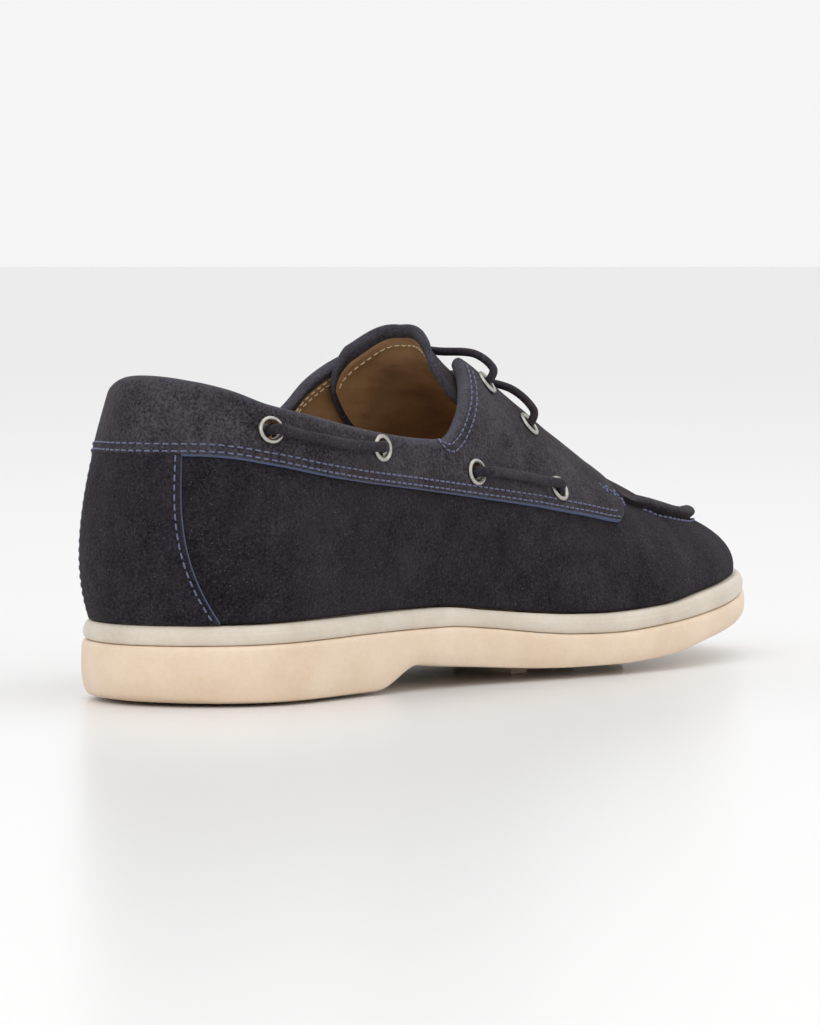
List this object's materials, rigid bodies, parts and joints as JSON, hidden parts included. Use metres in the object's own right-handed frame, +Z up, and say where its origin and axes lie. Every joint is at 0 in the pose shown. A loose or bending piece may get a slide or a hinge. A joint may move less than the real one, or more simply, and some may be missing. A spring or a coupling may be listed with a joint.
{
  "type": "boat shoe",
  "caption": "Low suede boat shoe for the right foot with a side lace run through eyelets, a raised apron seam, an open throat with a tongue and a thick rubber sole.",
  "frame": {"origin": "on the floor under the middle of the heel, 40 mm in front of the sole's back edge", "axes": "+X towards the toe, +Y towards the inner side of the foot, +Z up"},
  "size_m": [0.2969, 0.1026, 0.1053],
  "materials": {
    "cream_rubber": "matt cream with a fine dotted grain",
    "rand_rubber": "matt pale grey-white",
    "tan_leather": "smooth, slight sheen",
    "navy_suede": "short-napped suede",
    "band_suede": "short-napped suede",
    "counter_suede": "short-napped suede",
    "apron_suede": "short-napped suede",
    "tongue_suede": "short-napped suede, tan leather underneath",
    "nickel": "satin nickel plate",
    "navy_cord": "waxed leather cord"
  },
  "bodies": {
    "root": {"outsole": "cream_rubber", "midsole": "rand_rubber", "insole": "tan_leather", "upper": "navy_suede", "collar_band": "band_suede", "heel_counter": "counter_suede", "apron": "apron_suede", "tongue": "tongue_suede", "eyelet_outer_heel_rear": "nickel", "eyelet_outer_heel_front": "nickel", "eyelet_outer_side_rear": "nickel", "eyelet_outer_side_front": "nickel", "eyelet_outer_throat_top": "nickel", "eyelet_outer_throat_low": "nickel", "eyelet_inner_heel_rear": "nickel", "eyelet_inner_heel_front": "nickel", "eyelet_inner_side_rear": "nickel", "eyelet_inner_side_front": "nickel", "eyelet_inner_throat_top": "nickel", "eyelet_inner_throat_low": "nickel", "lace_outer_rear": "navy_cord", "lace_outer_front": "navy_cord", "lace_inner_rear": "navy_cord", "lace_inner_front": "navy_cord", "lace_bar_throat_top": "navy_cord", "lace_bar_throat_low": "navy_cord"}
  },
  "joints": []
}
